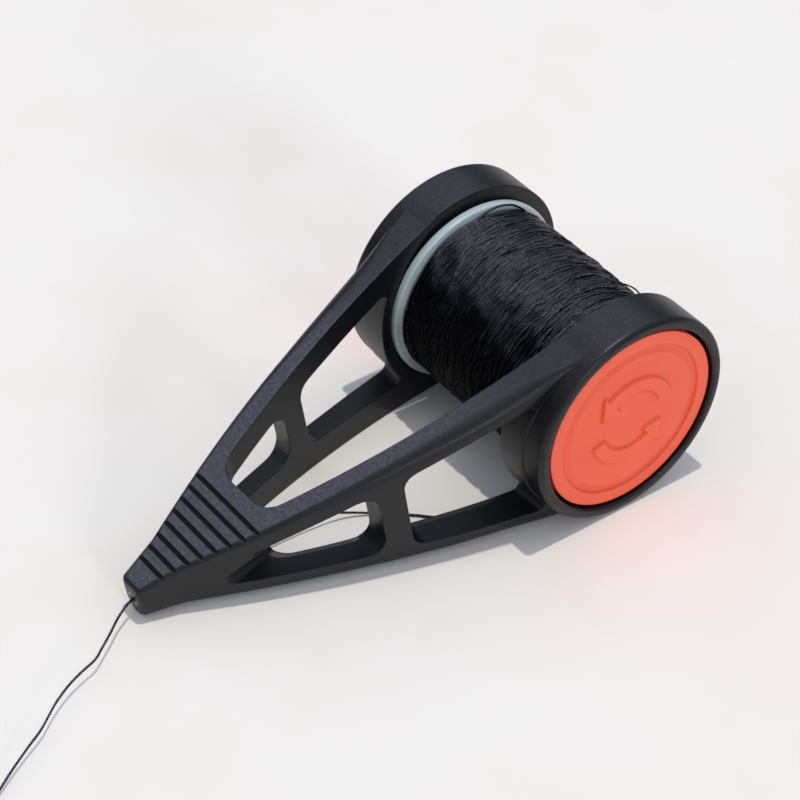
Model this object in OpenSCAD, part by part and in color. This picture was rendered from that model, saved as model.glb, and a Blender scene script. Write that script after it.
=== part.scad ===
// Line bobbin holder. A moulded fork carries a bobbin of line between two round cups,
// and the line runs out through a bore in the fork's nose. A dial in each cup turns with
// the bobbin. Millimetres, +Z up, the fork lies on its lower edges with its nose towards -Y.

/* [Fork] */
// Radius of the two round cups
cup_r = 20; // [18.5:0.5:23]
// Width over the two rims
rim_w = 53.5; // [50:0.5:60]
// Depth of the dial recess in each cup
recess_depth = 6; // [5.6:0.1:7]
// Thickness of the web at the bottom of each recess
web_t = 2.5; // [1.8:0.1:3.5]
// Wall between the recess and the outside of the cup
rim_lip = 2.05; // [1.6:0.05:2.6]
// Rounding of the rim's outer edge
rim_round = 1; // [0.4:0.1:1.4]
// Length from the axle to the end of the nose
nose_reach = 84.2; // [78:0.2:96]
// Half height of the nose at its end
nose_half_h = 3.66; // [3.2:0.02:5]
// Half width of the nose at its end
nose_half_w = 2.5; // [2.3:0.1:4]
// Rounding of the nose's end
nose_round = 0.8; // [0.3:0.1:1]
// Half width over the arms' outer faces, level with the axle
arm_half_w = 25.5; // [24:0.1:26]
// Radius of the bow of the arms' outer faces
arm_bow_r = 305; // [250:5:600]
// Half width of the nose where its straight end starts
nose_mid_half_w = 4.5; // [4.2:0.05:5.6]
// Length of the nose's straight end
nose_straight = 8; // [6:0.2:10]
// Length of the solid nose, from the crotch of the fork to its end
nose_solid = 23.4; // [22:0.2:26]
// Half width of the fork's gap at the crotch
crotch_half_w = 6.4; // [5.6:0.1:7.4]
// Corner radius of the crotch
crotch_round = 4.5; // [3:0.1:5]
// Radius of the bow of the arms' inner faces
gap_bow_r = 230; // [180:10:400]
// Width of the edge rounding at the nose
edge_nose = 0.9; // [0.5:0.1:1.4]
// Greatest width of the edge rounding, just before an arm meets its cup
edge_cup = 5.4; // [2:0.1:6]
// Greatest height of the upper edges' rounding
edge_deep = 2.6; // [1.5:0.1:3.2]
// Radius of the lower edges' rounding
edge_low = 3.2; // [1.5:0.1:3.4]

/* [Windows] */
// Height of the rails above the windows on the outer face
rail_out = 3.5; // [2.8:0.1:4.5]
// Height of the rails below the windows on the outer face
rail_low = 4.2; // [3.5:0.1:4.5]
// Height of the rails on the inner face
rail_in = 5.2; // [4.6:0.1:6]
// Place of the strut's middle, measured from the axle
strut_u = 42.4; // [38:0.2:46]
// Width of the strut between the two windows
strut_w = 4.4; // [3.2:0.1:6]
// Corner radius of the windows at the strut
strut_round = 3; // [1.5:0.1:3.4]
// Corner radius of the windows at their other ends
far_round = 1.5; // [0.8:0.1:1.7]
// Length of the nose in front of the window's outer edge
window_nose = 11.6; // [11:0.2:18]
// How much further back the upper corner of the window's outer edge lies
window_slant = 7.3; // [3:0.1:9]
// Length of the nose in front of the window's inner edge
window_in_nose = 21; // [20.4:0.2:26]

/* [Nose] */
// Number of grip grooves across the nose, on each face
groove_count = 8; // [4:1:8]
// Spacing of the grip grooves
groove_pitch = 2.26; // [1.8:0.02:2.4]
// Width of a grip groove
groove_w = 0.8; // [0.5:0.1:1.2]
// Depth of a grip groove
groove_depth = 0.5; // [0.3:0.05:0.7]
// Distance from the nose's end back to the first groove
groove_from_end = 4.5; // [3.5:0.1:6]
// Radius of the line's bore through the nose
nose_bore_r = 1; // [0.8:0.05:1.1]
// Outer radius of the exit ring
tip_ring_r = 1.3; // [1.2:0.05:1.5]
// Length of the exit ring
tip_ring_l = 3; // [2:0.1:4]
// Outer radius of the inlet ring
inlet_ring_r = 2; // [1.6:0.1:2.3]
// Length of the inlet ring
inlet_ring_l = 2; // [1.5:0.1:3]
// Radius of both rings' bores
ring_bore_r = 0.7; // [0.6:0.05:0.75]

/* [Bobbin] */
// Radius of the bobbin's flanges
flange_r = 17.7; // [16.8:0.1:18.4]
// Thickness of the bobbin's flanges
flange_t = 1.6; // [1.2:0.1:2.2]
// Clearance round the flanges in the fork's arms
flange_gap = 0.5; // [0.4:0.05:0.9]
// Radius of the bobbin's tube
tube_r = 8.5; // [8:0.1:10]
// Radius of the bobbin's bore
bobbin_bore_r = 7; // [6.6:0.1:7.4]
// Radius over the wound line
wound_r = 16.5; // [14:0.1:16.7]
// Diameter of the outer turns of the wound line
turn_d = 0.8; // [0.6:0.02:0.86]
// Number of outer turns
turn_count = 23; // [16:1:23]
// Diameter of the line that runs out through the nose
line_d = 0.5; // [0.4:0.05:0.7]

/* [Axle] */
// Radius of the spindles
shaft_r = 3; // [2.5:0.1:3.2]
// Length of the spindle's plug in the bobbin's bore
plug_l = 5; // [4:0.5:10]
// Clearance of the plug in the bore, on the radius
plug_fit = 0.05; // [0.04:0.01:0.08]
// Clearance of the spindle in its bush, on the radius
shaft_fit = 0.05; // [0.04:0.01:0.08]
// Outer radius of the bush
bush_r = 4.4; // [4:0.1:4.8]
// Radius of the bush's flange
bush_flange_r = 6.2; // [5.6:0.1:7]
// Thickness of the bush's flange
bush_flange_t = 0.6; // [0.4:0.1:0.8]
// Outer radius of the drag washer
drag_r = 9.5; // [8:0.1:12]
// Thickness of the drag washer
drag_t = 0.55; // [0.4:0.05:0.8]
// Thickness of the thrust washer
thrust_t = 0.5; // [0.4:0.05:0.6]
// Outer radius of the spring washer
spring_r = 6.4; // [5.6:0.1:7.2]
// Thickness of the spring washer
spring_t = 0.4; // [0.3:0.05:0.5]
// Height of the spring washer's cone
spring_rise = 0.6; // [0.4:0.05:0.8]

/* [Dial] */
// Gap between the dial and the rim round it
dial_gap = 0.6; // [0.4:0.05:1]
// Depth of the dial's face below the rim
dial_sink = 0.6; // [0.3:0.05:0.9]
// Thickness of the dial
dial_t = 1.9; // [1.5:0.1:2]
// Width of the band round the dial's face
dial_band = 2.4; // [1.5:0.1:3.5]
// Width of the ring groove in the dial's face
dial_groove_w = 1.7; // [1:0.1:2.5]
// Depth of the ring groove in the dial's face
dial_groove_d = 0.4; // [0.2:0.05:0.6]
// Radius of the boss behind the dial
boss_r = 5; // [4.4:0.1:6]

/* [Hidden] */
$fn = 96;

// Smoothness of the large bows and of the hand-made skins
bow_fn = 720;
corner_steps = 5;
nose_steps = 4;
body_steps = 24;
arc_steps = 5;
// How far a cutting tool runs past the face it cuts
past = 1;
// Small clearances: pieces at rest against each other, and pieces that turn past each other
rest_gap = 0.03;
turn_gap = 0.05;
// The arms' edges lie this much inside the cups, so the cups stand out as whole rounds
cup_step = 0.2;
// The fork's gap is this much wider than the space between the webs
bay_past = 0.25;
// The lower rounding takes at most this share of the nose's half width and half height
low_share = 0.85;
// The upper rounding fades over one cup radius, from this share of it in front of the axle
fade_from = 0.4;
// The wall that the rear window leaves round the cup
cup_wall = 0.2;
// The rear window's corners start this far outside the cup
window_clear = 1;
// How far the window tools run past the arm's faces, as a share of the arm's thickness
window_past = 0.5;
// Chamfers: recess mouth, rings' mouths, dial, spindles, flanges
mouth_chamfer = 0.35;
ring_chamfer = 0.25;
dial_chamfer = 0.3;
end_chamfer = 0.3;
flange_round = 0.4;
// Slope of the ring groove's inner side
groove_slope = 0.6;
// The dial's boss takes the end of the spindle this deep
socket_deep = 0.9;

// Places along the axle, from the middle of the fork outwards
rim_x = rim_w / 2;
web_out_x = rim_x - recess_depth;
web_in_x = web_out_x - web_t;
drag_out_x = web_in_x - rest_gap;
drag_in_x = drag_out_x - drag_t;
bobbin_x = drag_in_x - turn_gap;
winding_x = bobbin_x - flange_t;
bush_out_x = web_out_x + rest_gap + bush_flange_t;
thrust_x = bush_out_x + rest_gap;
spring_x = thrust_x + thrust_t + turn_gap;
boss_x = spring_x + spring_t + spring_rise + rest_gap;
dial_out_x = rim_x - dial_sink;
dial_in_x = dial_out_x - dial_t;
socket_x = dial_in_x + socket_deep;
shaft_end_x = socket_x - rest_gap;
recess_r = cup_r - rim_lip;
dial_r = recess_r - dial_gap;
pocket_r = flange_r + flange_gap;

// Side form of the fork: two straight edges, tangent to a circle just inside the cups
edge_r = cup_r - cup_step;
taper = asin(edge_r / norm([nose_reach, nose_half_h])) - atan2(nose_half_h, nose_reach);
function edge_h(u, down = 0) = (edge_r - down - u * sin(taper)) / cos(taper);
function half_h(u) = u > edge_r * sin(taper) ? edge_h(u) : sqrt(edge_r * edge_r - u * u);

// The fork lies on the cups and on the lower corner of its nose
rest_u = nose_reach - nose_round;
tilt = asin(cup_r / norm([rest_u, edge_h(rest_u)])) - atan2(edge_h(rest_u), rest_u);

// Plan form: outer and inner faces of the arms are bows through two points each
bay_half_w = web_in_x + bay_past;
crotch_u = nose_reach - nose_solid;
function bow_centre(p, q, r) = (p + q) / 2
    + [q[1] - p[1], p[0] - q[0]] / norm(q - p) * sqrt(r * r - pow(norm(q - p) / 2, 2));
function bow_x(u, c, r) = c[1] + sqrt(r * r - pow(u - c[0], 2));
nose_mid_u = nose_reach - nose_straight;
arm_c = bow_centre([0, arm_half_w], [nose_mid_u, nose_mid_half_w], arm_bow_r);
gap_c = bow_centre([0, bay_half_w], [crotch_u, crotch_half_w], gap_bow_r);
function arm_x(u) = u < nose_mid_u ? bow_x(u, arm_c, arm_bow_r)
    : nose_half_w + (nose_mid_half_w - nose_half_w) * (nose_reach - u) / nose_straight;
function gap_x(u) = bow_x(u, gap_c, gap_bow_r);

// Rounding of the outer edges, narrow at the nose and wide before the cups, where it fades
function fade(u) = let (t = max(0, min(1, (u - fade_from * cup_r) / cup_r))) t * t * (3 - 2 * t);
function edge_wide(u) = edge_nose + (edge_cup - edge_nose) * fade(u)
    * pow(max(0, nose_reach - u) / (nose_reach - cup_r), 3);
function edge_high(u) = min(edge_wide(u), edge_deep);
function low_wide(u, inset) = max(edge_wide(u), min(edge_low, low_share * (arm_x(u) - inset)));
function low_high(u, inset) = max(edge_high(u), min(edge_low, low_share * (half_h(u) - inset)));
corner_sx = [1, -1, -1, 1];
corner_sz = [1, 1, -1, -1];
function section(u, inset) = [for (q = [0:3], i = [0:corner_steps])
    let (a = 90 * (q + i / corner_steps), rx = q < 2 ? edge_wide(u) : low_wide(u, inset),
         rz = q < 2 ? edge_high(u) : low_high(u, inset))
    [corner_sx[q] * (arm_x(u) - inset - rx) + rx * cos(a), -u,
     corner_sz[q] * (half_h(u) - inset - rz) + rz * sin(a)]];
nose_stations = [for (k = [0:nose_steps]) let (a = 90 * k / nose_steps)
    [nose_reach - nose_round * (1 - cos(a)), nose_round * (1 - sin(a))]];
body_stations = [for (k = [1:body_steps]) [rest_u * (1 - k / body_steps), 0]];
stations = concat(nose_stations, body_stations);
last_station = len(stations) - 1;

// The part's origin is under the middle of its length
nose_front = max([for (s = nose_stations) s[0] * cos(tilt) + (half_h(s[0]) - s[1]) * sin(tilt)]);
axle_y = (nose_front - cup_r) / 2;

// Rounded outlines of the windows, as points along and across the fork
function unit(v) = v / norm(v);
function corner_arc(a, b, c, r) = let (p = unit(a - b), q = unit(c - b), half = acos(p * q) / 2,
    m = b + unit(p + q) * r / sin(half), s = b + p * r / tan(half) - m,
    turn = sign(p[0] * q[1] - p[1] * q[0]) * (180 - 2 * half))
    [for (i = [0:arc_steps]) let (t = -turn * i / arc_steps)
        m + [s[0] * cos(t) - s[1] * sin(t), s[0] * sin(t) + s[1] * cos(t)]];
function rounded(pts, radii) = let (n = len(pts))
    [for (i = [0:n - 1]) each corner_arc(pts[(i + n - 1) % n], pts[i], pts[(i + 1) % n], radii[i])];
strut_front = strut_u + strut_w / 2;
strut_back = strut_u - strut_w / 2;
window_out_u = nose_reach - window_nose;
window_in_u = nose_reach - window_in_nose;
function front_outline(u, up, low, slant) = rounded([[strut_front, edge_h(strut_front, up)],
    [u - slant, edge_h(u - slant, up)], [u, -edge_h(u, low)], [strut_front, -edge_h(strut_front, low)]],
    [strut_round, far_round, far_round, strut_round]);
function cup_corner(rail) = let (d = edge_r - rail, l = sqrt(pow(cup_r + window_clear, 2) - d * d))
    [d * sin(taper) + l * cos(taper), d * cos(taper) - l * sin(taper)];
function rear_outline(up, low) = let (c = cup_corner(up), d = cup_corner(low))
    rounded([c, [strut_back, edge_h(strut_back, up)], [strut_back, -edge_h(strut_back, low)],
    [d[0], -d[1]]], [far_round, strut_round, strut_round, far_round]);
function window_ring(inner, outer, t) = [for (i = [0:len(inner) - 1])
    let (a = [gap_x(inner[i][0]), -inner[i][0], inner[i][1]],
         b = [arm_x(outer[i][0]), -outer[i][0], outer[i][1]]) a + t * (b - a)];

// The wound line: one helix between the flanges, its ends straight and square to the core
turn_r = turn_d / 2;
turn_centre_r = wound_r - turn_r;
turn_steps = 24;
turn_sides = 6;
core_r = (turn_centre_r - turn_r) * cos(180 / turn_steps) - rest_gap;
turn_end = turn_d;
turn_margin = 0.45;
helix_half = winding_x - turn_margin - turn_r;
turn_pitch = 2 * helix_half / turn_count;
helix = [for (k = [0:turn_count * turn_steps]) let (a = 360 * k / turn_steps)
    [-helix_half + turn_pitch * k / turn_steps, turn_centre_r * cos(a), turn_centre_r * sin(a)]];
helix_last = helix[len(helix) - 1];
turn_points = concat([helix[0] - [0, 0, turn_end]], helix, [helix_last + [0, 0, turn_end]]);
turn_gap_least = min([for (k = [0:turn_steps - 1], j = [-2:2])
    norm(helix[k + 2 * turn_steps] - helix[k + 3 * turn_steps + j])]) - turn_d;
echo("least gap between turns of the wound line", turn_gap_least);

// The line's run, on points chosen by hand (x, from the axle, height above the table)
line_r = line_d / 2;
run_points = [[13.5, -1, 3.1], [13.5, -5, 2.4], [13.4, -10, 1.3], [13.2, -16, 0.5], [12.6, -22, 0.4],
    [11, -27, 0.4], [7.5, -31, 0.4], [4.5, -34.8, 0.4], [2.4, -38, 0.7], [0.9, -42, 1.7], [0.2, -48, 4.2],
    [0, -54, 6.9]];
bore_start = crotch_u - past;
bore_points = [for (u = [bore_start, crotch_u + inlet_ring_l, (crotch_u + nose_reach) / 2,
    nose_reach - tip_ring_l, nose_reach]) [0, -u * cos(tilt), cup_r - u * sin(tilt)]];
tail_points = [[0.6, -84.3, 3.35], [2.1, -86.9, 3.15], [4.1, -89.6, 3], [5.9, -92.2, 2.9],
    [7.4, -94.5, 2.8], [8.4, -97.7, 2.7], [9.7, -101, 2.6], [11.7, -104.6, 2.45], [14.7, -108.9, 2.2],
    [16.5, -112.4, 1.9], [18.7, -116.5, 1.5], [20.7, -120, 1.05], [22.6, -123.7, 0.65],
    [24.2, -126.5, 0.4]];
run_rings = 46;
tail_rings = 34;
tube_sides = 8;

// A smooth curve through points, cut into equal rings
function spline(p, i, t) = let (n = len(p), a = p[max(0, i - 1)], b = p[i], c = p[i + 1],
    d = p[min(n - 1, i + 2)], m = (c - a) / 2, k = (d - b) / 2)
    b + m * t + (3 * (c - b) - 2 * m - k) * t * t + (2 * (b - c) + m + k) * t * t * t;
function along(p, s) = let (i = min(len(p) - 2, floor(s))) spline(p, i, s - i);
function cut(p, rings) = [for (k = [0:rings - 1]) along(p, k / (rings - 1) * (len(p) - 1))];

// A tube of sides round a row of points, each ring square to the row
function dirs(p) = [for (i = [0:len(p) - 1]) unit(p[min(len(p) - 1, i + 1)] - p[max(0, i - 1)])];
function tube_rings(p, r, sides, up) = let (d = dirs(p)) [for (i = [0:len(p) - 1])
    let (n = unit(cross(up(p[i]), d[i])), b = cross(d[i], n))
    [for (k = [0:sides - 1]) p[i] + r * (n * cos(360 * k / sides) + b * sin(360 * k / sides))]];

// A closed skin over a row of rings
module skin(rings) {
    n = len(rings[0]);
    m = len(rings);
    caps = [[for (i = [0:n - 1]) i], [for (i = [n - 1:-1:0]) (m - 1) * n + i]];
    sides = [for (k = [0:m - 2], i = [0:n - 1], h = [0, 1]) let (a = k * n + i, b = k * n + (i + 1) % n)
        h == 0 ? [a, a + n, b] : [b, a + n, b + n]];
    polyhedron(points = [for (r = rings) each r], faces = concat(caps, sides));
}

module at_axle() {
    translate([0, axle_y, cup_r]) rotate([tilt, 0, 0]) children();
}

module both_sides() {
    children();
    mirror([1, 0, 0]) children();
}

// Things turned round the axle: a profile of radius and distance along X
module turned() {
    rotate([90, 0, 90]) rotate_extrude() children();
}

// A ring's profile from radius r1 to r2 and from x1 to x2
module ring_profile(r1, r2, x1, x2) {
    translate([r1, x1]) square([r2 - r1, x2 - x1]);
}

// The profile of a solid cup, with its outer edge rounded
module cup_profile() {
    ring_profile(0, cup_r - rim_round, web_in_x, rim_x);
    ring_profile(0, cup_r, web_in_x, rim_x - rim_round);
    translate([cup_r - rim_round, rim_x - rim_round]) circle(rim_round);
}

// The recess for the dial, with a small chamfer at its mouth
module recess_profile() {
    polygon([[0, web_out_x], [recess_r, web_out_x], [recess_r, rim_x - mouth_chamfer],
        [recess_r + mouth_chamfer + past, rim_x + past], [0, rim_x + past]]);
}

// The gap between the arms, seen from above
module gap_plan() {
    round_u = crotch_u - crotch_round;
    round_x = gap_c[1] + sqrt(pow(gap_bow_r - crotch_round, 2) - pow(round_u - gap_c[0], 2));
    touch = gap_c + unit([round_u, round_x] - gap_c) * gap_bow_r;
    intersection() {
        translate([gap_c[1], -gap_c[0]]) circle(gap_bow_r, $fn = bow_fn);
        translate([-gap_c[1], -gap_c[0]]) circle(gap_bow_r, $fn = bow_fn);
        translate([-web_in_x, -touch[0]]) square([2 * web_in_x, touch[0] + past]);
    }
    translate([-round_x, -crotch_u]) square([2 * round_x, crotch_round]);
    for (s = [-1, 1]) translate([s * round_x, -round_u]) circle(crotch_round);
}

// Cutting tools for the two windows of the right arm
module front_window() {
    inner = front_outline(window_in_u, rail_in, rail_in, 0);
    outer = front_outline(window_out_u, rail_out, rail_low, window_slant);
    skin([window_ring(inner, outer, -window_past), window_ring(inner, outer, 1 + window_past)]);
}

module rear_window() {
    inner = rear_outline(rail_in, rail_in);
    outer = rear_outline(rail_out, rail_low);
    difference() {
        skin([window_ring(inner, outer, -window_past), window_ring(inner, outer, 1 + window_past)]);
        rotate([0, 90, 0]) cylinder(r = cup_r + cup_wall, h = rim_w);
    }
}

// One grip groove across the nose's upper face
module groove(u) {
    translate([0, -u, edge_h(u)]) rotate([taper, 0, 0]) rotate([90, 0, 90])
        linear_extrude(rim_w, center = true)
            polygon([[-groove_w / 2, 0], [-groove_w / 2, past], [groove_w / 2, past],
                [groove_w / 2, 0], [0, -groove_depth]]);
}

// A rod along the fork, from u1 to u2
module rod(r, u1, u2) {
    translate([0, -u1, 0]) rotate([90, 0, 0]) cylinder(r = r, h = u2 - u1);
}

module frame() {
    color([0.13, 0.135, 0.15]) at_axle() difference() {
        union() {
            skin([for (i = [last_station:-1:0]) section(stations[i][0], stations[i][1])]);
            both_sides() turned() cup_profile();
        }
        translate([0, 0, -cup_r - past]) linear_extrude(2 * (cup_r + past)) gap_plan();
        rotate([0, 90, 0]) cylinder(r = pocket_r, h = 2 * web_in_x, center = true);
        both_sides() turned() recess_profile();
        rotate([0, 90, 0]) cylinder(r = bush_r + rest_gap, h = rim_w, center = true);
        both_sides() front_window();
        both_sides() rear_window();
        rod(nose_bore_r, crotch_u - past, nose_reach + past);
        rod(inlet_ring_r + rest_gap, crotch_u - past, crotch_u + inlet_ring_l + rest_gap);
        rod(tip_ring_r + rest_gap, nose_reach - tip_ring_l - rest_gap, nose_reach + past);
        for (i = [0:groove_count - 1]) {
            groove(nose_reach - groove_from_end - i * groove_pitch);
            mirror([0, 0, 1]) groove(nose_reach - groove_from_end - i * groove_pitch);
        }
    }
}

// A hard ring that guides the line, its mouths chamfered
module guide_ring(r, u, l) {
    at_axle() translate([0, -u, 0]) rotate([90, 0, 0]) rotate_extrude()
        polygon([[ring_bore_r, ring_chamfer], [ring_bore_r + ring_chamfer, 0], [r, 0], [r, l],
            [ring_bore_r + ring_chamfer, l], [ring_bore_r, l - ring_chamfer]]);
}

module tip_ring() {
    color([0.2, 0.18, 0.17]) guide_ring(tip_ring_r, nose_reach - tip_ring_l, tip_ring_l);
}

module inlet_ring() {
    color([0.2, 0.18, 0.17]) guide_ring(inlet_ring_r, crotch_u, inlet_ring_l);
}

// One half of the bobbin's profile, from its middle to the outer face of a flange
module bobbin_profile() {
    ring_profile(bobbin_bore_r, tube_r, 0, bobbin_x);
    ring_profile(bobbin_bore_r, flange_r - flange_round, winding_x, bobbin_x);
    ring_profile(bobbin_bore_r, flange_r, winding_x + flange_round, bobbin_x - flange_round);
    translate([flange_r - flange_round, winding_x + flange_round]) circle(flange_round);
    translate([flange_r - flange_round, bobbin_x - flange_round]) circle(flange_round);
}

module bobbin() {
    color([0.72, 0.82, 0.84]) at_axle() turned() {
        bobbin_profile();
        mirror([0, 1]) bobbin_profile();
    }
}

module line_core() {
    color([0.06, 0.06, 0.07]) at_axle() turned()
        ring_profile(tube_r + rest_gap, core_r, rest_gap - winding_x, winding_x - rest_gap);
}

module line_winding() {
    color([0.07, 0.07, 0.085]) at_axle()
        skin(tube_rings(turn_points, turn_r, turn_sides, function(p) [1, 0, 0]));
}

// The spindle: a plug in the bobbin's bore and a shaft out through the web into the dial
module spindle() {
    plug_r = bobbin_bore_r - plug_fit;
    plug_x = bobbin_x - plug_l;
    polygon([[0, plug_x], [plug_r - end_chamfer, plug_x], [plug_r, plug_x + end_chamfer],
        [plug_r, bobbin_x], [shaft_r, bobbin_x], [shaft_r, shaft_end_x - end_chamfer],
        [shaft_r - end_chamfer, shaft_end_x], [0, shaft_end_x]]);
}

// The bush: a sleeve in the web with a flange on the dial's side
module bush() {
    ring_profile(shaft_r + shaft_fit, bush_r, web_in_x, bush_out_x);
    ring_profile(shaft_r + shaft_fit, bush_flange_r, web_out_x + rest_gap, bush_out_x);
}

module drag_washer() {
    ring_profile(shaft_r + turn_gap, drag_r, drag_in_x, drag_out_x);
}

module thrust_washer() {
    ring_profile(shaft_r + turn_gap, bush_flange_r, thrust_x, thrust_x + thrust_t);
}

// The spring washer: a shallow cone that presses the dial away from the web
module spring_washer() {
    polygon([[shaft_r + turn_gap, spring_x + spring_rise], [spring_r, spring_x],
        [spring_r, spring_x + spring_t], [shaft_r + turn_gap, spring_x + spring_rise + spring_t]]);
}

// The dial: a plate with a band and a ring groove, and a boss that takes the spindle's end
module dial() {
    flat_r = dial_r - dial_band - dial_groove_w;
    low_x = dial_out_x - dial_groove_d;
    polygon([[0, socket_x], [shaft_r + rest_gap, socket_x], [shaft_r + rest_gap, boss_x],
        [boss_r, boss_x], [boss_r, dial_in_x], [dial_r - dial_chamfer, dial_in_x],
        [dial_r, dial_in_x + dial_chamfer], [dial_r, dial_out_x - dial_chamfer],
        [dial_r - dial_chamfer, dial_out_x], [dial_r - dial_band, dial_out_x],
        [dial_r - dial_band, low_x], [flat_r + groove_slope, low_x], [flat_r, dial_out_x],
        [0, dial_out_x]]);
}

steel = [0.72, 0.73, 0.75];
bronze = [0.7, 0.5, 0.26];
orange = [0.91, 0.34, 0.22];
felt = [0.32, 0.32, 0.33];
blue_steel = [0.35, 0.38, 0.45];

module right(tint) {
    color(tint) at_axle() turned() children();
}

module left(tint) {
    color(tint) at_axle() mirror([1, 0, 0]) turned() children();
}

module right_spindle() { right(steel) spindle(); }
module right_bush() { right(bronze) bush(); }
module right_drag_washer() { right(felt) drag_washer(); }
module right_thrust_washer() { right(steel) thrust_washer(); }
module right_spring_washer() { right(blue_steel) spring_washer(); }
module right_dial() { right(orange) dial(); }
module left_spindle() { left(steel) spindle(); }
module left_bush() { left(bronze) bush(); }
module left_drag_washer() { left(felt) drag_washer(); }
module left_thrust_washer() { left(steel) thrust_washer(); }
module left_spring_washer() { left(blue_steel) spring_washer(); }
module left_dial() { left(orange) dial(); }

module line_run() {
    color([0.07, 0.07, 0.085]) translate([0, axle_y, 0])
        skin(tube_rings(cut(concat(run_points, bore_points), run_rings), line_r, tube_sides,
            function(p) [1, 0, 0.3]));
}

module line_tail() {
    start = bore_points[len(bore_points) - 1];
    color([0.07, 0.07, 0.085]) translate([0, axle_y, 0])
        skin(tube_rings(cut(concat([start], tail_points), tail_rings), line_r, tube_sides,
            function(p) [0, 0, 1]));
}

frame();
tip_ring();
inlet_ring();
bobbin();
line_core();
line_winding();
left_spindle();
left_bush();
left_drag_washer();
left_thrust_washer();
left_spring_washer();
left_dial();
right_spindle();
right_bush();
right_drag_washer();
right_thrust_washer();
right_spring_washer();
right_dial();
line_run();
line_tail();
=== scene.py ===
# %% [markdown]
# # A line bobbin holder in Blender
# The holder is a black moulded fork. It carries a bobbin of line between two round cups,
# and the line runs out through a bore in its nose. The solid model already has every piece
# at its true size, so this lesson dresses it: it loads the solids, keeps those whose shape is
# right, and makes finer pieces for the line, the bobbin and the dials.

# %% Load the solid model
import math

import bpy
from mathutils import Matrix, Vector, noise


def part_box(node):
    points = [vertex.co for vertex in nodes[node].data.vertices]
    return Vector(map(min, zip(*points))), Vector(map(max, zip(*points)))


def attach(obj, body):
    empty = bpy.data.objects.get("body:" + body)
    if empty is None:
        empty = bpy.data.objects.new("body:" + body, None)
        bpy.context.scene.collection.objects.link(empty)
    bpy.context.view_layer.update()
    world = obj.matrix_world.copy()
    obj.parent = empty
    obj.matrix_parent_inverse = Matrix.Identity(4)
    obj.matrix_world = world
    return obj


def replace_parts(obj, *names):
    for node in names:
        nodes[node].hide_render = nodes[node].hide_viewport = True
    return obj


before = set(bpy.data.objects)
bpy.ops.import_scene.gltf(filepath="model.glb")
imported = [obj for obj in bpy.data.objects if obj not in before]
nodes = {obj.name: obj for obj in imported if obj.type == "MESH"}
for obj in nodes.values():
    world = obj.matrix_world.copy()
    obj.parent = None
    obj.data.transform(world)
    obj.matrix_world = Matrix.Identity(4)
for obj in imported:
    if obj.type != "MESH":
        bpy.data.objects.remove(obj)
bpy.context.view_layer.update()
MM = 0.001


def in_mm(vector, digits=1):
    """A vector in metres as rounded millimetres, for printing."""
    return [round(v / MM, digits) for v in vector]


# %% [markdown]
# Every place on the holder is easiest to say from its axle, the line through the two cups.
# The bobbin's own box gives the axle, so nothing has to be typed in twice. The fork itself
# lies nose down on the table, and the tilt is the angle of its middle line.

# %% The axle and the fork's tilt
bobbin_low, bobbin_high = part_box("bobbin")
AXLE = (bobbin_low + bobbin_high) / 2
TILT = math.radians(11.24)


def from_axle(x, y, z):
    """A point in millimetres, y from the axle and z from the table, as metres in the model."""
    return Vector((x * MM, AXLE.y + y * MM, z * MM))


def along_fork(u):
    """The point on the fork's middle line at u millimetres in front of the axle."""
    return from_axle(0, -u * math.cos(TILT), AXLE.z / MM - u * math.sin(TILT))


print("axle at", in_mm(AXLE, 2))

# %% [markdown]
# The camera comes first, because it decides what shows. A real camera could be placed by eye,
# but circles give better evidence: the round cups show as ellipses, and their shape and place
# fix the point of view. The three directions below are the picture's right, its up and the way
# back to the eye, and together they are the camera's rotation matrix.

# %% Camera
EYE = from_axle(266.55, -243.78, 314.05)
PICTURE_RIGHT = Vector((0.60294, 0.79697, 0.03614))
PICTURE_UP = Vector((-0.53650, 0.37153, 0.75771))
PICTURE_BACK = Vector((0.59045, -0.47624, 0.65159))
LENS = 120.72

camera_data = bpy.data.cameras.new("camera")
camera_data.lens = LENS
camera_data.sensor_width = 36.0
camera_data.clip_start = 0.01
camera = bpy.data.objects.new("camera", camera_data)
turn = Matrix((PICTURE_RIGHT, PICTURE_UP, PICTURE_BACK)).transposed().to_4x4()
camera.matrix_world = Matrix.Translation(EYE) @ turn
bpy.context.scene.collection.objects.link(camera)
bpy.context.scene.camera = camera
print("camera", round((EYE - AXLE).length / MM), "mm from the axle")

# %% [markdown]
# Finishes are node trees, and most of them start alike: a Principled shader, a noise that varies
# it, and a bump. A small helper class keeps the wiring short. Numbers that are the same all over
# go straight onto the shader's sockets, so that they survive an export.

# %% A helper for finishes


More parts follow.
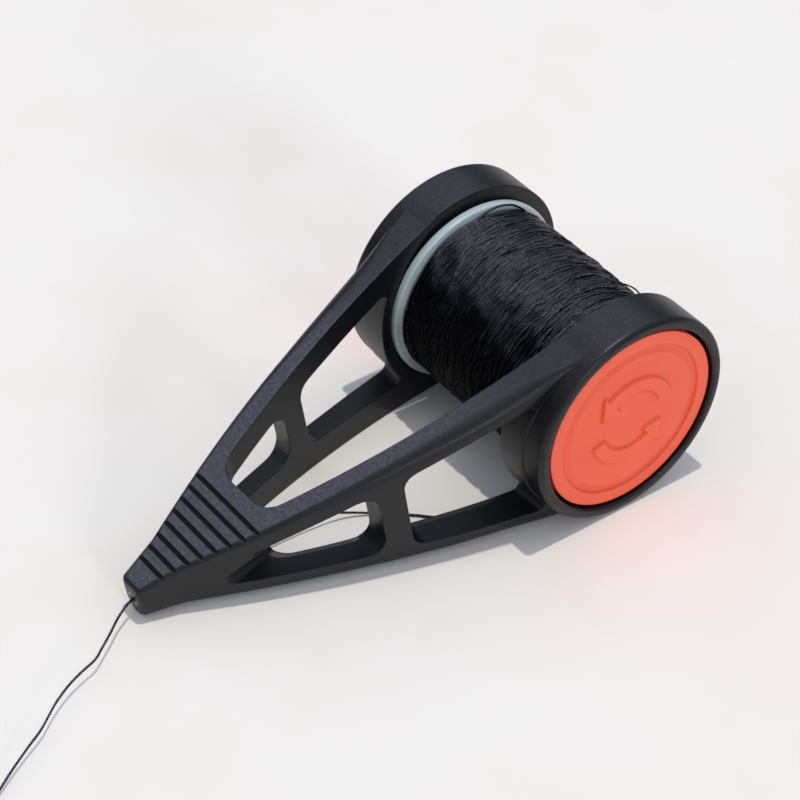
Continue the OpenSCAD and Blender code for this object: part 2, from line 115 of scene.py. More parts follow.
class Finish:
    """A material with a Principled shader, built one named step at a time."""

    def __init__(self, name, colour, roughness, **sockets):
        self.material = bpy.data.materials.new(name)
        self.material.use_nodes = True
        self.tree = self.material.node_tree
        self.shader = self.tree.nodes["Principled BSDF"]
        self.shader.inputs["Base Color"].default_value = (*colour, 1.0)
        self.shader.inputs["Roughness"].default_value = roughness
        for socket, value in sockets.items():
            self.shader.inputs[socket.replace("_", " ")].default_value = value
        self.place = self.node("ShaderNodeTexCoord").outputs["Object"]
        self.normal = None

    def node(self, kind, **values):
        made = self.tree.nodes.new(kind)
        for name, value in values.items():
            setattr(made, name, value)
        return made

    def link(self, a, b):
        self.tree.links.new(a, b)

    def noise(self, scale, detail=3.0, stretch=(1.0, 1.0, 1.0)):
        """Noise in the piece's own space; scale is in features per metre."""
        mapping = self.node("ShaderNodeMapping")
        mapping.inputs["Scale"].default_value = stretch
        texture = self.node("ShaderNodeTexNoise")
        texture.inputs["Scale"].default_value = scale
        texture.inputs["Detail"].default_value = detail
        self.link(self.place, mapping.inputs["Vector"])
        self.link(mapping.outputs["Vector"], texture.inputs["Vector"])
        return texture.outputs["Fac"]

    def ramp(self, value, stops):
        """A colour ramp over value; stops are (position, colour)."""
        made = self.node("ShaderNodeValToRGB")
        for element, (position, colour) in zip(made.color_ramp.elements, stops):
            element.position = position
            element.color = (*colour, 1.0)
        self.link(value, made.inputs["Fac"])
        return made.outputs["Color"]

    def ranged(self, value, low=0.0, high=1.0, to_low=0.0, to_high=1.0, smooth=True):
        """Maps value from low..high to to_low..to_high, with soft ends if smooth."""
        made = self.node("ShaderNodeMapRange",
                         interpolation_type="SMOOTHSTEP" if smooth else "LINEAR")
        ends = {"From Min": low, "From Max": high, "To Min": to_low, "To Max": to_high}
        for end, number in ends.items():
            made.inputs[end].default_value = number
        self.link(value, made.inputs["Value"])
        return made.outputs["Result"]

    def mixed(self, share, none, full):
        """A colour that goes from the socket none to the socket full as share goes up."""
        made = self.node("ShaderNodeMix", data_type="RGBA")
        self.link(none, made.inputs["A"])
        self.link(full, made.inputs["B"])
        self.link(share, made.inputs["Factor"])
        return made.outputs["Result"]

    def times(self, a, b):
        made = self.node("ShaderNodeMath", operation="MULTIPLY")
        self.link(a, made.inputs[0])
        self.link(b, made.inputs[1])
        return made.outputs["Value"]

    def reach(self, vector, direction):
        """How far a vector goes in a direction."""
        made = self.node("ShaderNodeVectorMath", operation="DOT_PRODUCT")
        self.link(vector, made.inputs[0])
        made.inputs[1].default_value = direction
        return made.outputs["Value"]

    def vary_colour(self, value, stops):
        self.link(self.ramp(value, stops), self.shader.inputs["Base Color"])

    def vary_roughness(self, value, low, high):
        varied = self.ranged(value, to_low=low, to_high=high, smooth=False)
        self.link(varied, self.shader.inputs["Roughness"])

    def round_edges(self, radius):
        """Softens sharp edges in the shading, as a mould does."""
        made = self.node("ShaderNodeBevel", samples=6)
        made.inputs["Radius"].default_value = radius
        self.normal = made.outputs["Normal"]
        self.link(self.normal, self.shader.inputs["Normal"])

    def bump(self, height, strength, distance):
        made = self.node("ShaderNodeBump")
        made.inputs["Strength"].default_value = strength
        made.inputs["Distance"].default_value = distance
        self.link(height, made.inputs["Height"])
        if self.normal is not None:
            self.link(self.normal, made.inputs["Normal"])
        self.normal = made.outputs["Normal"]
        self.link(self.normal, self.shader.inputs["Normal"])


print("finishes ready")

# %% [markdown]
# The line is a thin black twisted cord. A bevelled curve would be a plain round wire, so a mesh
# tube is swept along the route instead, and its section has three lobes that turn as it goes:
# that is what the plies of a twisted cord look like. The same sweep makes the wound turns later.

# %% A tube swept along points


def directions(points):
    """The way forward at each point of a row."""
    last = len(points) - 1
    return [(points[min(i + 1, last)] - points[max(i - 1, 0)]).normalized()
            for i in range(last + 1)]


def swept_tube(points, radius, sides, lobes=0, lay=1.0, depth=0.0):
    """Vertices and faces of a tube; with lobes, its section turns once every lay metres."""
    ways = directions(points)
    side = ways[0].orthogonal().normalized()
    verts, run = [], 0.0
    for i, (point, way) in enumerate(zip(points, ways)):
        side = (side - way * side.dot(way)).normalized()
        other = way.cross(side)
        run += (point - points[i - 1]).length if i else 0.0
        for k in range(sides):
            angle = 2 * math.pi * k / sides
            wave = math.cos(lobes * angle) if lobes else 1.0
            reach = radius * (1 - depth * (1 - wave) / 2)
            spin = angle + (2 * math.pi * run / lay if lobes else 0.0)
            verts.append(point + reach * (side * math.cos(spin) + other * math.sin(spin)))
    faces = []
    for low in range(0, (len(points) - 1) * sides, sides):
        for k in range(sides):
            n = (k + 1) % sides
            faces.append([low + k, low + n, low + sides + n, low + sides + k])
    first_ring = list(range(sides))
    faces.append(first_ring[::-1])
    faces.append([(len(points) - 1) * sides + k for k in first_ring])
    return verts, faces


def piece(name, verts, faces, finish, smooth_angle=None):
    """A new mesh object with one finish. Edges sharper than smooth_angle degrees stay sharp."""
    mesh = bpy.data.meshes.new(name)
    mesh.from_pydata([tuple(v) for v in verts], [], faces)
    mesh.validate()
    mesh.polygons.foreach_set("use_smooth", [True] * len(mesh.polygons))
    if smooth_angle:
        mesh.set_sharp_from_angle(angle=math.radians(smooth_angle))
    mesh.materials.append(finish.material)
    made = bpy.data.objects.new(name, mesh)
    bpy.context.scene.collection.objects.link(made)
    print(name, len(mesh.vertices), "vertices")
    return made


print("sweep ready")

# %% [markdown]
# Black cord is never quite black: its fibres catch light as fine grey-blue glints along the
# thread. A very dark base lets the glints tell, and noise varies the tone and the roughness, so
# that neighbouring turns don't look copied. The shader can't see each fibre flash, so its shine
# is painted by how the surface faces in the world: a painted highlight, full where the surface
# faces up and fading as it turns away. A broad noise breaks the highlight's edge into patches,
# because turns laid by hand don't all lie alike.

# %% The finish of the line
TURNED_AWAY, FACING_UP = 0.45, 0.80
DULL, GLOSSY = 0.07, 1.0
PATCHES = 1.3

line_finish = Finish("black line", (0.003, 0.003, 0.004), 0.3, Specular_IOR_Level=0.6,
                     Specular_Tint=(0.82, 0.88, 1.0, 1.0))
line_grain = line_finish.noise(900.0, 4.0)
line_finish.vary_colour(line_grain, [(0.32, (0.0008, 0.0008, 0.0012)),
                                     (0.72, (0.003, 0.003, 0.0045))])
line_finish.vary_roughness(line_grain, 0.2, 0.36)
# Painted highlight: the specular level follows how far the surface faces up in the world, not the
# lamps.
facing = line_finish.node("ShaderNodeSeparateXYZ")
surface = line_finish.node("ShaderNodeNewGeometry").outputs["Normal"]
line_finish.link(surface, facing.inputs["Vector"])
patchy = line_finish.node("ShaderNodeMath", operation="MULTIPLY_ADD")
line_finish.link(line_finish.noise(240.0, 3.0), patchy.inputs[0])
patchy.inputs[1].default_value = PATCHES
line_finish.link(facing.outputs["Z"], patchy.inputs[2])
painted_shine = line_finish.ranged(patchy.outputs["Value"], TURNED_AWAY + PATCHES / 2,
                           FACING_UP + PATCHES / 2, DULL, GLOSSY)
line_finish.link(painted_shine, line_finish.shader.inputs["Specular IOR Level"])
line_finish.bump(line_finish.noise(4200.0, 2.0), 0.9, 0.18 * MM)
print("line finish has", len(line_finish.tree.nodes), "nodes")

# %% [markdown]
# The route of the loose line repeats the solid model's points: off the underside of the winding,
# along the table inside the fork, up into the crotch and down the bore of the nose. Outside, the
# tail is springy enough to come down to the table slowly. A Catmull-Rom curve passes through
# every point, so the cord lies just where its solid lies.

# %% The route of the loose line
NOSE_REACH = 84.2
CROTCH_U = NOSE_REACH - 23.4
RUN_MM = [(13.5, -1, 3.1), (13.5, -5, 2.4), (13.4, -10, 1.3), (13.2, -16, 0.5),
          (12.6, -22, 0.4), (11, -27, 0.4), (7.5, -31, 0.4), (4.5, -34.8, 0.4),
          (2.4, -38, 0.7), (0.9, -42, 1.7), (0.2, -48, 4.2), (0, -54, 6.9)]
BORE_U = [CROTCH_U - 1, CROTCH_U + 2, (CROTCH_U + NOSE_REACH) / 2, NOSE_REACH - 3, NOSE_REACH]
TAIL_MM = [(0.6, -84.3, 3.35), (2.1, -86.9, 3.15), (4.1, -89.6, 3.0), (5.9, -92.2, 2.9),
           (7.4, -94.5, 2.8), (8.4, -97.7, 2.7), (9.7, -101.0, 2.6), (11.7, -104.6, 2.45),
           (14.7, -108.9, 2.2), (16.5, -112.4, 1.9), (18.7, -116.5, 1.5), (20.7, -120.0, 1.05),
           (22.6, -123.7, 0.65), (24.2, -126.5, 0.4)]
RUN_STEPS, TAIL_STEPS = 14, 10


def smooth_route(points, steps):
    """A Catmull-Rom curve through points, with steps short pieces between neighbours."""
    last, out = len(points) - 1, []
    for i in range(last):
        a, b, c, d = points[max(i - 1, 0)], points[i], points[i + 1], points[min(i + 2, last)]
        m, k = (c - a) / 2, (d - b) / 2
        square, cube = 3 * (c - b) - 2 * m - k, 2 * (b - c) + m + k
        for s in range(steps):
            t = s / steps
            out.append(b + m * t + square * t * t + cube * t ** 3)
    return out + [points[last]]


def route_length(points):
    return sum((b - a).length for a, b in zip(points, points[1:]))


in_fork = [from_axle(*p) for p in RUN_MM] + [along_fork(u) for u in BORE_U]
outside = [along_fork(NOSE_REACH)] + [from_axle(*p) for p in TAIL_MM]
run_route = smooth_route(in_fork, RUN_STEPS)
tail_route = smooth_route(outside, TAIL_STEPS)
print("line in the fork", round(route_length(run_route) / MM), "mm")
print("tail", round(route_length(tail_route) / MM), "mm")

# %% [markdown]
# Each free stretch of line is its own piece: a tube swept along its route, which takes the place
# of its solid. The plies are cut a little into the round section, deep enough to show as a twist.

# %% The loose line, as two pieces
LINE_D = 0.5
LINE_SIDES = 12
TWIST = dict(lobes=3, lay=1.6 * MM, depth=0.24)


def line_piece(name, route):
    verts, faces = swept_tube(route, LINE_D / 2 * MM, LINE_SIDES, **TWIST)
    made = piece(name, verts, faces, line_finish)
    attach(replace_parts(made, name.replace("loose_", "")), "frame")


line_piece("loose_line_run", run_route)
line_piece("loose_line_tail", tail_route)

# %% [markdown]
# The fork is one injection moulding: matte black, with a fine spark texture from the mould. Its
# solid is right, so it stays, but a solid's mesh has one island of vertices for each face and
# would show every facet. A small geometry-node modifier joins the islands and marks only the
# true edges as sharp, and a weighted-normal modifier keeps the flats flat beside the roundings.

# %% Smooth shading for the solids that stay
SHARP = math.radians(36)
JOIN_WITHIN = 2e-6

smoother = bpy.data.node_groups.new("join and smooth", "GeometryNodeTree")
for in_out in ("INPUT", "OUTPUT"):
    smoother.interface.new_socket("Geometry", in_out=in_out, socket_type="NodeSocketGeometry")
way_in = smoother.nodes.new("NodeGroupInput")
way_out = smoother.nodes.new("NodeGroupOutput")
plain = smoother.nodes.new("GeometryNodeRemoveAttribute")
plain.inputs["Name"].default_value = "custom_normal"
joined = smoother.nodes.new("GeometryNodeMergeByDistance")
joined.inputs["Distance"].default_value = JOIN_WITHIN
all_smooth = smoother.nodes.new("GeometryNodeSetShadeSmooth")
all_smooth.domain = "FACE"
edges_sharp = smoother.nodes.new("GeometryNodeSetShadeSmooth")
edges_sharp.domain = "EDGE"
edges_sharp.inputs["Shade Smooth"].default_value = False
angle = smoother.nodes.new("GeometryNodeInputMeshEdgeAngle")
sharper = smoother.nodes.new("FunctionNodeCompare")
sharper.operation = "GREATER_THAN"
sharper.inputs["B"].default_value = SHARP
chain = [way_in, plain, joined, all_smooth, edges_sharp, way_out]
for before, after in zip(chain, chain[1:]):
    smoother.links.new(before.outputs[0], after.inputs[0])
smoother.links.new(angle.outputs["Unsigned Angle"], sharper.inputs["A"])
smoother.links.new(sharper.outputs["Result"], edges_sharp.inputs["Selection"])
print("smoother has", len(smoother.nodes), "nodes")

# %% [markdown]
# The black of the fork is a dark blue-grey in the light. Two noises work at two scales: a fine
# one is the spark texture, as bump, and a broad one is the slight cloudiness of handled plastic,
# as a change of tone and roughness. The flats on top of the nose and arms get a lighter blue-grey
# tone, flecked by a third noise, where the surface faces up and lies ahead of the cups: partly
# fine dust, partly painted light that stands in for the pale light falling on the tops. A bevel
# node rounds crisp edges.

# %% The fork's finish
FORK_UP = Vector((0.0, -math.sin(TILT), math.cos(TILT)))
FLAT_FROM = 0.9
TOP_RISE = 2.5 * MM
TOP_LIGHT_STARTS, TOP_LIGHT_FULL = along_fork(16).y, along_fork(40).y
CUP_SHARE = 0.32

fork_finish = Finish("black moulding", (0.006, 0.0063, 0.008), 0.4, Specular_IOR_Level=0.34)
fork_cloud = fork_finish.noise(60.0, 4.0)
black = fork_finish.ramp(fork_cloud, [(0.3, (0.0045, 0.0048, 0.006)),
                                      (0.75, (0.0075, 0.008, 0.0102))])
# Painted light, partly dust: a lighter blue-grey tone for the flats that face up, flecked by fine
# noise.
lit_top_and_dust = fork_finish.ramp(fork_finish.noise(1500.0, 6.0), [(0.36, (0.040, 0.041, 0.052)),
                                                           (0.68, (0.074, 0.076, 0.094))])
surface = fork_finish.node("ShaderNodeTexCoord").outputs["Normal"]
flat = fork_finish.ranged(fork_finish.reach(surface, FORK_UP), FLAT_FROM)
middle = AXLE.dot(FORK_UP)
height = fork_finish.reach(fork_finish.place, FORK_UP)
above = fork_finish.ranged(height, middle, middle + TOP_RISE)
lengthwise = fork_finish.node("ShaderNodeSeparateXYZ")
fork_finish.link(fork_finish.place, lengthwise.inputs["Vector"])
ahead = fork_finish.ranged(lengthwise.outputs["Y"], TOP_LIGHT_STARTS, TOP_LIGHT_FULL, to_low=CUP_SHARE)
# Where the painted top light shows: flats that face up, above the middle and ahead of the cups.
top_light_share = fork_finish.times(flat, fork_finish.times(above, ahead))
fork_finish.link(fork_finish.mixed(top_light_share, black, lit_top_and_dust),
                 fork_finish.shader.inputs["Base Color"])
fork_finish.vary_roughness(fork_cloud, 0.33, 0.44)
fork_finish.round_edges(0.35 * MM)
fork_finish.bump(fork_finish.noise(3800.0, 2.0), 0.14, 0.08 * MM)


def dress(name, finish):
    """Gives a solid that stays its finish and its smooth shading."""
    node = nodes[name]
    node.data.materials.clear()
    node.data.materials.append(finish.material)
    node.modifiers.new("smooth", "NODES").node_group = smoother
    node.modifiers.new("flats", "WEIGHTED_NORMAL").keep_sharp = True


dress("frame", fork_finish)
print("fork dressed in a finish of", len(fork_finish.tree.nodes), "nodes")

# %% [markdown]
# Turned pieces, such as the bobbin and the dials, are one profile spun round the axle. The
# profile is a short list of radius and place pairs. A second helper rounds each corner of the
# profile a little first, because real moulded edges catch a line of light and sharp ones don't.

# %% Spun pieces
SPIN_STEPS = 128
SPUN_SHARP = 40
ARC_STOPS = (0.0, 0.33, 0.67, 1.0)
MOST_CUT = 0.45


def round_axle(x, r, a):
    """The point x along the axle, at radius r and angle a round it, from millimetres."""
    return AXLE + Vector((x, r * math.cos(a), r * math.sin(a))) * MM


def rounded_profile(corners, radius, closed):
    """Replaces each corner of a profile by a small arc of four points."""
    out, count = [], len(corners)
    for i, corner in enumerate(corners):
        here = Vector(corner)
        if not closed and i in (0, count - 1):
            out.append(here)
            continue
        back, on = Vector(corners[i - 1]) - here, Vector(corners[(i + 1) % count]) - here
        cut = min(radius, back.length * MOST_CUT, on.length * MOST_CUT)
        a, b = here + back.normalized() * cut, here + on.normalized() * cut
        out += [(1 - t) ** 2 * a + 2 * t * (1 - t) * here + t * t * b for t in ARC_STOPS]
    return out


def spun(name, corners, finish, radius, mirror=1, closed=False):
    """A profile of (radius, x) in millimetres spun round the axle."""
    profile = rounded_profile(corners, radius, closed)
    verts, faces, count = [], [], len(profile)
    for s in range(SPIN_STEPS):
        a = 2 * math.pi * s / SPIN_STEPS
        verts += [round_axle(mirror * x, r, a) for r, x in profile]
        n = (s + 1) % SPIN_STEPS
        for i in range(count if closed else count - 1):
            j = (i + 1) % count
            face = [s * count + i, n * count + i, n * count + j, s * count + j]
            faces.append(face if mirror > 0 else face[::-1])
    return piece(name, verts, faces, finish, smooth_angle=SPUN_SHARP)


print("spun pieces get", SPIN_STEPS, "steps round the axle")

# %% [markdown]
# The bobbin is pale clear plastic with a faint blue-green tint. Its flanges show as a bright
# ring between the fork and the dark line. Full glass would be too clear, so the shader mixes
# some transmission with a pale base colour, which scatters light as a milky moulding does.

# %% Bobbin
FLANGE_R, TUBE_R, BORE_R = 17.7, 8.5, 7.0
FLANGE_OUT, FLANGE_IN = 17.62, 16.02

bobbin_finish = Finish("pale clear plastic", (0.47, 0.57, 0.57), 0.3,
                       Transmission_Weight=0.06, IOR=1.46)
bobbin_finish.vary_roughness(bobbin_finish.noise(140.0, 3.0), 0.22, 0.38)
bobbin_finish.bump(bobbin_finish.noise(420.0, 2.0), 0.06, 0.1 * MM)
half = [(TUBE_R, FLANGE_IN), (FLANGE_R, FLANGE_IN), (FLANGE_R, FLANGE_OUT), (BORE_R, FLANGE_OUT)]
bobbin_profile = [(r, -x) for r, x in half[::-1]] + half
bobbin = spun("line_bobbin", bobbin_profile, bobbin_finish, radius=0.45, closed=True)
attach(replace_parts(bobbin, "bobbin"), "bobbin")

# %% [markdown]
# The wound line is what the eye goes to. It could be one smooth barrel with a bump, but its
# outline would then be too clean. So it is made of real turns on a dark core. The core comes
# first: a spun barrel that is fullest a little left of the middle.

# %% The core under the turns
WIND_HALF = 15.75
BARREL_R, CROWN, FULLEST_X, CROWN_REACH = 16.1, 0.4, -3.0, 19.0
CORE_DEPTH, CORE_STEPS, TUBE_GAP = 0.75, 40, 0.05


def barrel(x):
    """Radius over the winding at x: fullest left of the middle, falling towards the right."""
    return BARREL_R + CROWN * math.cos((x - FULLEST_X) / CROWN_REACH * math.pi / 2)


core_x = [-WIND_HALF + 2 * WIND_HALF * i / CORE_STEPS for i in range(CORE_STEPS + 1)]
core_corners = [(barrel(x) - CORE_DEPTH, x) for x in core_x]
core_corners = [(TUBE_R + TUBE_GAP, -WIND_HALF)] + core_corners + [(TUBE_R + TUBE_GAP, WIND_HALF)]
core = spun("wound_core", core_corners, line_finish, radius=0.1, closed=True)
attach(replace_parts(core, "line_core"), "bobbin")

# %% [markdown]
# One even helix would look like a screw, because a hand never lays turns evenly. So each layer
# is one long thin tube whose radius and place along the axle wander by smooth noise. Two sparser
# layers run over the first and stray further, as the last turns on a bobbin do.

# %% The wound turns
THREAD_R, THREAD_SIDES, TURN_STEPS = 0.18, 5, 48
TURNS_END = WIND_HALF - 0.2
SUNK = 0.1
FULLER, FULL_SIDE = 0.35, math.radians(40)
NOISE_RING, NOISE_ALONG = 3.0, 0.9


def wander(place, scale, seed):
    """Smooth noise from -1 to 1 at a place on the winding."""
    return noise.noise(Vector((place[0] * scale, place[1] * scale, place[2] * scale + seed)))


def wound_layer(turns, lift, sway, start, phase):
    """Points of one layer of turns, from one flange to the other."""
    points, last = [], turns * TURN_STEPS
    for i in range(last + 1):
        a = phase + 2 * math.pi * i / TURN_STEPS
        x = (-1 + 2 * i / last) * TURNS_END * start
        spot = (math.cos(a) * NOISE_RING, math.sin(a) * NOISE_RING, x * NOISE_ALONG)
        x += sway * (wander(spot, 0.55, 11.0 + lift) + 0.6 * wander(spot, 2.2, 5.0))
        x = max(-TURNS_END, min(TURNS_END, x))
        lump = 0.22 * wander(spot, 0.9, 31.0)
        lump += 0.16 * wander((spot[0], spot[1], x * 2.6), 1.0, 47.0)
        r = barrel(x) - SUNK + lift + lump + FULLER * math.cos(a - FULL_SIDE)
        points.append(round_axle(x, r, a))
    return points


turn_verts, turn_faces = [], []
for layer in [dict(turns=100, lift=0.0, sway=0.35, start=1, phase=0.3),
              dict(turns=52, lift=0.16, sway=0.9, start=-1, phase=1.1),
              dict(turns=22, lift=0.3, sway=2.1, start=1, phase=2.9)]:
    verts, faces = swept_tube(wound_layer(**layer), THREAD_R * MM, THREAD_SIDES)
    turn_faces += [[i + len(turn_verts) for i in face] for face in faces]
    turn_verts += verts
turns = piece("wound_turns", turn_verts, turn_faces, line_finish)
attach(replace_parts(turns, "line_winding"), "bobbin")

# %% [markdown]
# Two slack turns break the even barrel. One stands off beside the left flange, and the pale
# flange shows through under it; a smaller one stands up near the right end. Each is a short
# bowed tube whose two ends sink into the turns.

# %% The slack turns
SLACK = {"slack_turn_left": dict(first=98, last=46, r=16.3, rise=1.3, x=-15.3, lean=-0.38,
                                 thick=0.27),
         "slack_turn_right": dict(first=60, last=12, r=16.85, rise=0.75, x=9.4, lean=0.6,
                                  thick=0.2)}
SLACK_STEPS, SLACK_SIDES, BOW_POWER = 24, 8, 1.3

for name, bow in SLACK.items():
    points = []
    for i in range(SLACK_STEPS + 1):
        share = i / SLACK_STEPS
        a = math.radians(bow["first"] + (bow["last"] - bow["first"]) * share)
        r = bow["r"] + bow["rise"] * math.sin(math.pi * share) ** BOW_POWER
        x = bow["x"] + bow["lean"] * math.sin(math.pi * share)
        points.append(round_axle(x, r, a))
    verts, faces = swept_tube(points, bow["thick"] * MM, SLACK_SIDES, **TWIST)
    slack = piece(name, verts, faces, line_finish)
    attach(slack, "bobbin")

# %% [markdown]
# The bobbin is overfull on the right, so a few turns ride up over the flange's edge there and
# hide it. They are one more tube, wound as a flat spiral that climbs and then lies on the edge.

# %% The turns over the flange's edge
EDGE_TURNS, EDGE_STEPS, EDGE_SIDES = 5, 60, 6
EDGE_X, EDGE_SPREAD = 15.0, 1.85
EDGE_R, EDGE_RISE, CLIMB = 16.75, 1.1, 1.6
EDGE_SWAY = 0.1

edge_points = []
for i in range(EDGE_TURNS * EDGE_STEPS + 1):
    a = 2 * math.pi * i / EDGE_STEPS
    share = i / (EDGE_TURNS * EDGE_STEPS)
    spot = (NOISE_RING * math.cos(a), NOISE_RING * math.sin(a), 4.0 * share)
    sway = EDGE_SWAY * wander(spot, 1.2, 63.0)
    x = EDGE_X + EDGE_SPREAD * share + sway
    r = EDGE_R + EDGE_RISE * min(1.0, share * CLIMB) + 0.5 * sway
    edge_points.append(round_axle(x, r, a))
verts, faces = swept_tube(edge_points, THREAD_R * MM, EDGE_SIDES)
edge_turns = piece("edge_turns", verts, faces, line_finish)
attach(edge_turns, "bobbin")

# %% [markdown]
# The dials are bright orange plastic. The shader adds a very slight emission: a painted glow
# that lifts the orange above what the lamps give it. A little subsurface scattering keeps its
# shadows warm. Painted shade darkens the colour in the corners, where an ambient occlusion node
# finds other surfaces close by.

# %% Orange plastic
# Painted glow: a faint emission that lifts the orange.
PAINTED_GLOW = 0.06
# Painted shade: the colour, reach and depth of the darkening in corners.
CORNER_SHADE, CORNER_SHADE_REACH, CORNER_SHADE_FULL = (0.52, 0.045, 0.018), 0.9 * MM, 0.5


def orange_plastic(name):
    """Orange plastic with a painted glow, a slightly cloudy tone and a fine mould texture."""
    made = Finish(name, (0.95, 0.135, 0.062), 0.5, Specular_IOR_Level=0.4,
                  Emission_Color=(1.0, 0.13, 0.06, 1.0), Emission_Strength=PAINTED_GLOW,
                  Subsurface_Weight=0.12, Subsurface_Radius=(0.6 * MM, 0.2 * MM, 0.1 * MM))
    cloud = made.noise(110.0, 4.0)
    made.vary_colour(cloud, [(0.3, (0.92, 0.122, 0.054)), (0.75, (0.98, 0.148, 0.07))])
    made.vary_roughness(cloud, 0.44, 0.58)
    made.bump(made.noise(3000.0, 2.0), 0.1, 0.08 * MM)
    return made


def paint_corner_shade(finish):
    """Paints shade into the colour where other surfaces stand close by."""
    colour = finish.shader.inputs["Base Color"]
    corners = finish.node("ShaderNodeAmbientOcclusion", samples=8)
    corners.inputs["Distance"].default_value = CORNER_SHADE_REACH
    shaded_colour = finish.node("ShaderNodeMix", data_type="RGBA")
    shaded_colour.inputs["A"].default_value = (*CORNER_SHADE, 1.0)
    finish.link(colour.links[0].from_socket, shaded_colour.inputs["B"])
    unshaded = finish.ranged(corners.outputs["AO"], CORNER_SHADE_FULL, smooth=False)
    finish.link(unshaded, shaded_colour.inputs["Factor"])
    finish.link(shaded_colour.outputs["Result"], colour)


dial_finish = orange_plastic("orange moulding")
# Painted shade in the dial's corners.
paint_corner_shade(dial_finish)
print("dial finish has", len(dial_finish.tree.nodes), "nodes")

# %% [markdown]
# Each dial is a plate sunk a little below the cup's rim. Its face has a band, a shallow ring
# groove and a flat middle, and a boss behind takes the end of the spindle. All of that is round,
# so one profile is spun for both sides, and the left one is mirrored.

# %% Dial plates
DIAL_R, DIAL_FACE, DIAL_BACK = 17.35, 26.15, 24.25
GROOVE_OUT, GROOVE_IN, GROOVE_FLOOR = 14.95, 13.25, DIAL_FACE - 0.42
GROOVE_STEEP, GROOVE_EASY = 0.15, 0.7
BOSS_R, BOSS_END, SOCKET_R, SOCKET_END = 5.0, 22.99, 3.03, 25.15
SIDES = (("right", 1), ("left", -1))

dial_profile = [(0.0, SOCKET_END), (SOCKET_R, SOCKET_END), (SOCKET_R, BOSS_END),
                (BOSS_R, BOSS_END), (BOSS_R, DIAL_BACK), (DIAL_R, DIAL_BACK),
                (DIAL_R, DIAL_FACE), (GROOVE_OUT, DIAL_FACE),
                (GROOVE_OUT - GROOVE_STEEP, GROOVE_FLOOR), (GROOVE_IN + GROOVE_EASY, GROOVE_FLOOR),
                (GROOVE_IN, DIAL_FACE), (0.0, DIAL_FACE)]
for side, mirror in SIDES:
    dial = spun(side + "_dial_plate", dial_profile, dial_finish, radius=0.16, mirror=mirror)
    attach(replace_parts(dial, side + "_dial"), side + "_dial")

# %% [markdown]
# The middle of the dial carries a plain raised sign: two arrows that chase each other round,
# because the dial turns. Each arrow is an outline of an arc and a head, lifted off the face with
# a sloping edge, so that light draws it tone on tone. Its own finish gets no painted corner
# shade; the painted shade on the plate round its foot outlines it.

# %% The outline of an arrow
ARROW_R, ARROW_HALF, ARROW_SPAN = 7.3, 1.15, math.radians(112)
HEAD_SPAN, HEAD_WIDER = math.radians(24), 2.3
ARC_STEPS = 26


def arrow_outline(start, grow):
    """One curved arrow as (radius, angle) round the axle, made larger all round by grow."""
    wide, head_half = ARROW_HALF + grow, ARROW_HALF * HEAD_WIDER + grow * 1.8
    shift = grow / ARROW_R
    begin, back = start - shift, start + ARROW_SPAN - shift
    tip = start + ARROW_SPAN + HEAD_SPAN + 2.0 * shift
    arc = [begin + (back - begin) * i / ARC_STEPS for i in range(ARC_STEPS + 1)]
    head = [(ARROW_R + head_half, back), (ARROW_R, tip), (ARROW_R - head_half, back)]
    return ([(ARROW_R + wide, a) for a in arc] + head
            + [(ARROW_R - wide, a) for a in arc[::-1]])


print("an arrow has", len(arrow_outline(0.0, 0.0)), "points round its outline")

# %% The raised arrows
ARROW_STARTS = (math.radians(20), math.radians(200))
ARROW_RINGS = ((0.3, DIAL_FACE - 0.05), (0.1, DIAL_FACE + 0.375), (0.0, DIAL_FACE + 0.5))
ARROW_SHARP = 30
arrow_finish = orange_plastic("orange relief")


def raised_arrows(name, mirror):
    """Both arrows of a dial: sloping sides through ARROW_RINGS, a flat top and a closed foot."""
    verts, faces = [], []
    for start in ARROW_STARTS:
        base = len(verts)
        for grow, x in ARROW_RINGS:
            verts += [round_axle(mirror * x, r, a) for r, a in arrow_outline(start, grow)]
        count = (len(verts) - base) // len(ARROW_RINGS)
        top = len(verts) - count
        for ring in range(base, top, count):
            for i in range(count):
                j = (i + 1) % count
                faces.append([ring + i, ring + j, ring + count + j, ring + count + i])
        tip = top + count // 2
        for i in range(count // 2 - 2):
            faces.append([top + i, top + i + 1, top + count - 2 - i, top + count - 1 - i])
        faces += [[tip - 2, tip - 1, tip], [tip - 2, tip, tip + 2], [tip, tip + 1, tip + 2]]
        faces.append([base + i for i in range(count)][::-1])
    if mirror < 0:
        faces = [face[::-1] for face in faces]
    return piece(name, verts, faces, arrow_finish, smooth_angle=ARROW_SHARP)


for side, mirror in SIDES:
    arrows = raised_arrows(side + "_dial_arrows", mirror)
    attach(arrows, side + "_dial")

# %% [markdown]
# The small hard parts keep their solids: ceramic rings that spare the line from wear, steel
# spindles and thrust washers, bronze bushes, felt drag washers and blued spring washers. Most of
# them are hidden, but each still gets its own finish, for anyone who takes the holder apart.

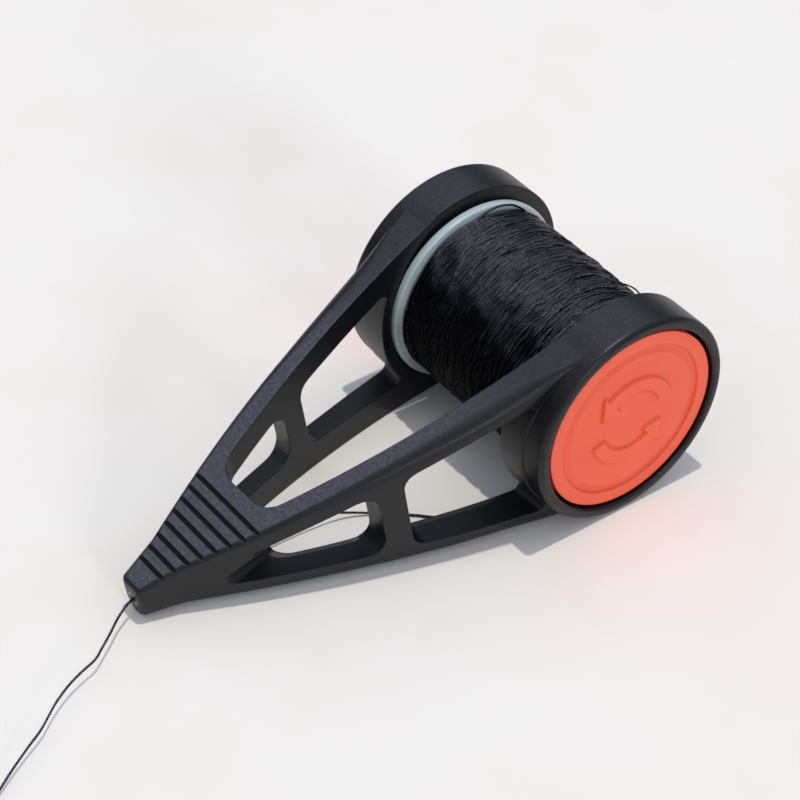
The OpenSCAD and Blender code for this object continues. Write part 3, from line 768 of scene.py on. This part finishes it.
# %% Finishes of the small parts
ring_finish = Finish("dark ceramic", (0.035, 0.03, 0.028), 0.18, Coat_Weight=0.3)
ring_finish.vary_roughness(ring_finish.noise(700.0), 0.12, 0.26)
steel_finish = Finish("turned steel", (0.56, 0.57, 0.59), 0.3, Metallic=1.0)
steel_finish.vary_roughness(steel_finish.noise(900.0, 2.0, (6.0, 1.0, 1.0)), 0.22, 0.42)
bronze_finish = Finish("sintered bronze", (0.50, 0.32, 0.14), 0.45, Metallic=1.0)
bronze_finish.vary_roughness(bronze_finish.noise(1500.0), 0.36, 0.6)
felt_finish = Finish("pressed felt", (0.09, 0.09, 0.10), 0.95, Sheen_Weight=0.4)
felt_finish.bump(felt_finish.noise(2600.0, 4.0), 0.6, 0.2 * MM)
spring_finish = Finish("blued steel", (0.16, 0.19, 0.28), 0.35, Metallic=1.0)
spring_finish.vary_roughness(spring_finish.noise(800.0), 0.26, 0.46)

RINGS = ("tip_ring", "inlet_ring")
SMALL = {"spindle": steel_finish, "thrust_washer": steel_finish, "bush": bronze_finish,
         "drag_washer": felt_finish, "spring_washer": spring_finish}
for ring in RINGS:
    dress(ring, ring_finish)
for side, _ in SIDES:
    for part, finish in SMALL.items():
        dress(side + "_" + part, finish)
print("small parts dressed:", len(RINGS) + len(SIDES) * len(SMALL))

# %% [markdown]
# The holder lies on a plain pale table. One large flat grid is enough, because the camera looks
# down and never sees an edge. It is stage, not part of the object.

# %% Table
TABLE_HALF, TABLE_CELLS = 1.5, 6

table_finish = Finish("pale table", (0.89, 0.85, 0.77), 0.7, Specular_IOR_Level=0.25)
table_finish.vary_colour(table_finish.noise(26.0, 7.0), [(0.3, (0.850, 0.806, 0.728)),
                                                         (0.7, (0.878, 0.858, 0.798))])
row = TABLE_CELLS + 1
lines = [-TABLE_HALF + 2 * TABLE_HALF * i / TABLE_CELLS for i in range(row)]
grid = [(x, y, 0.0) for y in lines for x in lines]
cells = [[j * row + i, j * row + i + 1, (j + 1) * row + i + 1, (j + 1) * row + i]
         for j in range(TABLE_CELLS) for i in range(TABLE_CELLS)]
table = piece("table_top", grid, cells, table_finish)

# %% [markdown]
# The light is a studio's: a small lamp straight above gives short shadows with clear edges, and
# a low, soft one on the dial's side lifts the orange.

# %% Lamps


def sun(name, strength, softness, towards, colour):
    """A sun lamp that shines towards a direction; softness is its width in degrees."""
    lamp = bpy.data.lights.new(name, "SUN")
    lamp.energy = strength
    lamp.angle = math.radians(softness)
    lamp.color = colour
    made = bpy.data.objects.new(name, lamp)
    made.rotation_euler = Vector(towards).to_track_quat("-Z", "Y").to_euler()
    bpy.context.scene.collection.objects.link(made)
    print(name, "of strength", strength)


sun("key_light", 1.36, 1.4, (-0.006, -0.055, -1.0), (1.0, 0.965, 0.92))
sun("fill_light", 0.62, 12.0, (-0.94, 0.1, -0.32), (1.0, 0.99, 0.98))

# %% [markdown]
# Black plastic and black line show mostly what they mirror, so the surround matters too: a wide
# pale blue cloth overhead that ends well above the horizon. Where the winding turns down past
# the cloth's edge it goes black. The world's shader makes the cloth from the height of the ray.

# %% Surround
CLOTH_EDGE = (0.32, 0.48)
SURROUND, CLOTH = (0.09, 0.093, 0.10), (0.62, 0.665, 0.80)

world = bpy.data.worlds.new("studio")
world.use_nodes = True
sky = world.node_tree
ray = sky.nodes.new("ShaderNodeTexCoord")
ray_height = sky.nodes.new("ShaderNodeSeparateXYZ")
falloff = sky.nodes.new("ShaderNodeMapRange")
falloff.interpolation_type = "SMOOTHSTEP"
falloff.inputs["From Min"].default_value, falloff.inputs["From Max"].default_value = CLOTH_EDGE
tint = sky.nodes.new("ShaderNodeMix")
tint.data_type = "RGBA"
tint.inputs["A"].default_value = (*SURROUND, 1.0)
tint.inputs["B"].default_value = (*CLOTH, 1.0)
sky.links.new(ray.outputs["Generated"], ray_height.inputs["Vector"])
sky.links.new(ray_height.outputs["Z"], falloff.inputs["Value"])
sky.links.new(falloff.outputs["Result"], tint.inputs["Factor"])
sky.links.new(tint.outputs["Result"], sky.nodes["Background"].inputs["Color"])
bpy.context.scene.world = world
bpy.context.scene.view_settings.view_transform = "Standard"
print("cloth from", CLOTH_EDGE[0], "to", CLOTH_EDGE[1], "of the way up")
